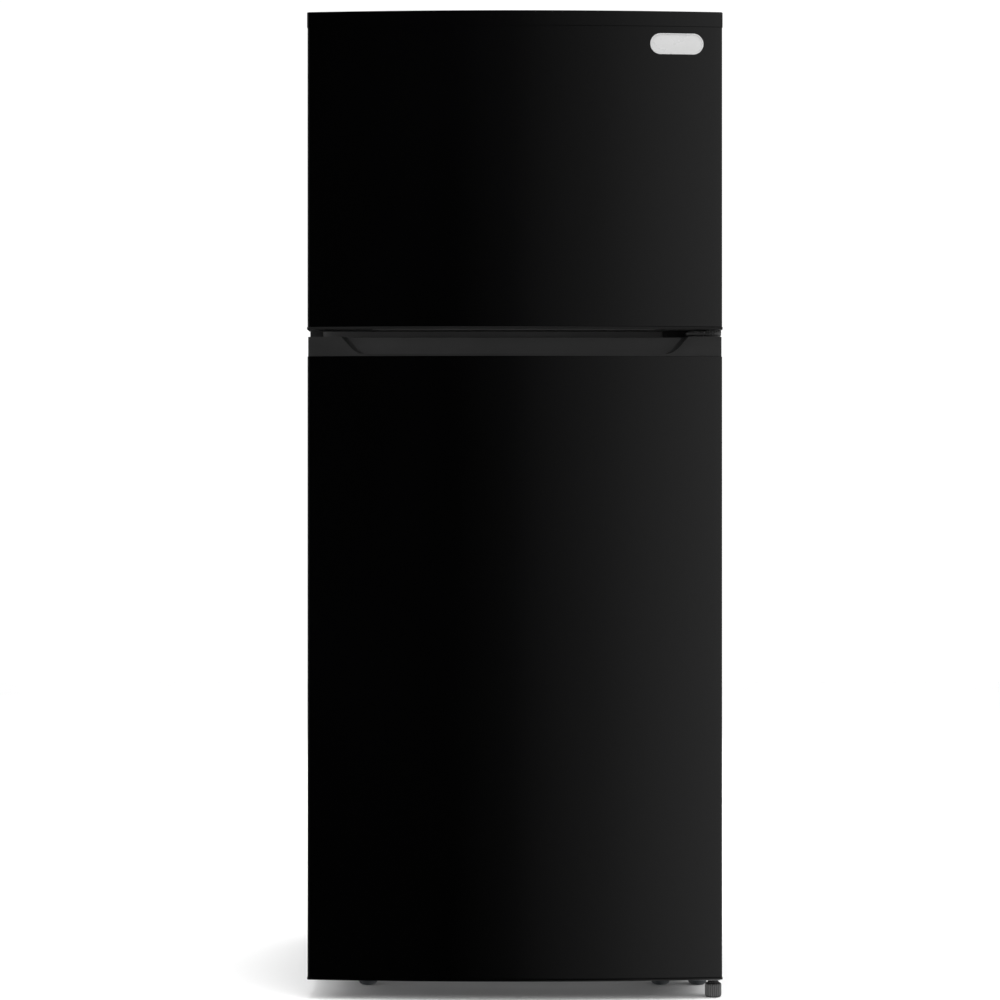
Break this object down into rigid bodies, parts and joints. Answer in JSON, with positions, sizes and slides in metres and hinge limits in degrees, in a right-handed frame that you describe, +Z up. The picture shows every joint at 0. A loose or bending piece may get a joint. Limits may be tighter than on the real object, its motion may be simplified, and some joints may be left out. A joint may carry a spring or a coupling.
{
  "type": "top freezer refrigerator",
  "caption": "Upright refrigerator with a freezer door over a taller fresh-food door, bowed glossy black fronts and a wide finger recess between them.",
  "frame": {"origin": "on the floor under the middle of the whole refrigerator", "axes": "+Z up, the doors face -Y, +X to the right of a person facing the doors"},
  "size_m": [0.7, 0.722, 1.662],
  "materials": {
    "black_steel": "gloss",
    "dark_plastic": "satin",
    "cabinet_steel": "fine leather texture",
    "white_plastic": "satin",
    "foam": "matte foam",
    "seal": "matte",
    "galvanised_steel": "zinc plated",
    "badge_metal": "fine satin",
    "clear_plastic": "clear",
    "shelf_glass": "clear",
    "slate_rubber": "matte",
    "grey_plastic": "matte",
    "compressor_paint": "satin black",
    "coil_metal": "drawn"
  },
  "bodies": {
    "cabinet": {"cabinet_shell": "cabinet_steel", "back_panel": "cabinet_steel", "bottom_panel": "galvanised_steel", "cabinet_insulation": "foam", "freezer_liner": "white_plastic", "fridge_liner": "white_plastic", "mullion_strip": "cabinet_steel", "top_hinge": "galvanised_steel", "top_hinge_cover": "dark_plastic", "middle_hinge": "galvanised_steel", "bottom_hinge": "galvanised_steel", "front_foot_left": "slate_rubber", "front_foot_right": "slate_rubber", "hinge_foot": "slate_rubber", "compressor_base": "galvanised_steel", "compressor": "compressor_paint", "condenser_coil": "coil_metal", "condenser_fan_motor": "galvanised_steel", "drain_pan": "dark_plastic", "rear_cover": "cabinet_steel", "evaporator_cover": "white_plastic", "evaporator_coil": "coil_metal", "evaporator_fan_motor": "galvanised_steel", "freezer_shelf": "coil_metal", "fridge_shelf_trim_upper": "white_plastic", "fridge_shelf_glass_upper": "shelf_glass", "fridge_shelf_trim_lower": "white_plastic", "fridge_shelf_glass_lower": "shelf_glass", "crisper_cover_trim": "white_plastic", "crisper_cover_glass": "shelf_glass", "control_housing": "white_plastic", "light_cover": "clear_plastic", "air_duct_cover": "white_plastic"},
    "freezer_door": {"freezer_door_skin": "black_steel", "freezer_door_top_cap": "dark_plastic", "freezer_door_bottom_cap": "dark_plastic", "freezer_door_insulation": "foam", "freezer_door_liner": "white_plastic", "freezer_door_gasket": "seal", "freezer_door_bin_upper": "clear_plastic", "freezer_door_bin_lower": "clear_plastic", "badge": "badge_metal"},
    "fridge_door": {"fridge_door_skin": "black_steel", "fridge_door_handle_cap": "dark_plastic", "fridge_door_bottom_cap": "dark_plastic", "fridge_door_insulation": "foam", "fridge_door_liner": "white_plastic", "fridge_door_gasket": "seal", "fridge_door_bin_upper": "clear_plastic", "fridge_door_bin_middle": "clear_plastic", "fridge_door_bin_lower": "clear_plastic"},
    "left_crisper": {"crisper_drawer_left": "clear_plastic"},
    "right_crisper": {"crisper_drawer_right": "clear_plastic"},
    "switch_plunger": {"door_switch_plunger": "grey_plastic"},
    "knob": {"temperature_knob": "grey_plastic"},
    "leg": {"leveling_leg": "grey_plastic"},
    "left_roller": {"rear_roller_left": "slate_rubber"},
    "right_roller": {"rear_roller_right": "slate_rubber"},
    "freezer_fan": {"evaporator_fan": "dark_plastic"},
    "machine_fan": {"condenser_fan": "dark_plastic"}
  },
  "joints": [
    {"name": "freezer_door_hinge", "type": "hinge", "parent": "cabinet", "child": "freezer_door", "pos_m": [0.336, -0.316, 1.395], "axis": [0, 0, 1], "range_deg": [0, 120]},
    {"name": "fridge_door_hinge", "type": "hinge", "parent": "cabinet", "child": "fridge_door", "pos_m": [0.336, -0.316, 0.575], "axis": [0, 0, 1], "range_deg": [0, 120]},
    {"name": "crisper_left_slide", "type": "slide", "parent": "cabinet", "child": "left_crisper", "axis": [0, -1, 0], "range_m": [0, 0.2]},
    {"name": "crisper_right_slide", "type": "slide", "parent": "cabinet", "child": "right_crisper", "axis": [0, -1, 0], "range_m": [0, 0.2]},
    {"name": "door_switch_slide", "type": "slide", "parent": "cabinet", "child": "switch_plunger", "axis": [0, -1, 0], "range_m": [0, 0.006]},
    {"name": "temperature_knob_turn", "type": "hinge", "parent": "cabinet", "child": "knob", "pos_m": [0.04, -0.2, 1.0507], "axis": [0, -1, 0], "range_deg": [0, 270]},
    {"name": "leveling_leg_screw", "type": "slide", "parent": "cabinet", "child": "leg", "axis": [0, 0, -1], "range_m": [0, 0.012]},
    {"name": "roller_left_spin", "type": "hinge", "parent": "cabinet", "child": "left_roller", "pos_m": [-0.3, 0.29, 0.0178], "axis": [1, 0, 0], "continuous": true},
    {"name": "roller_right_spin", "type": "hinge", "parent": "cabinet", "child": "right_roller", "pos_m": [0.3, 0.29, 0.0178], "axis": [1, 0, 0], "continuous": true},
    {"name": "evaporator_fan_spin", "type": "hinge", "parent": "cabinet", "child": "freezer_fan", "pos_m": [0, 0.194, 1.482], "axis": [0, 1, 0], "continuous": true},
    {"name": "condenser_fan_spin", "type": "hinge", "parent": "cabinet", "child": "machine_fan", "pos_m": [-0.0855, 0.23, 0.15], "axis": [1, 0, 0], "continuous": true}
  ],
  "couplings": [
    {"joint": "crisper_left_slide", "follows": "fridge_door_hinge", "m_per_rad": 0.095},
    {"joint": "crisper_right_slide", "follows": "fridge_door_hinge", "m_per_rad": 0.095},
    {"joint": "door_switch_slide", "follows": "fridge_door_hinge", "m_per_rad": 0.00285}
  ]
}
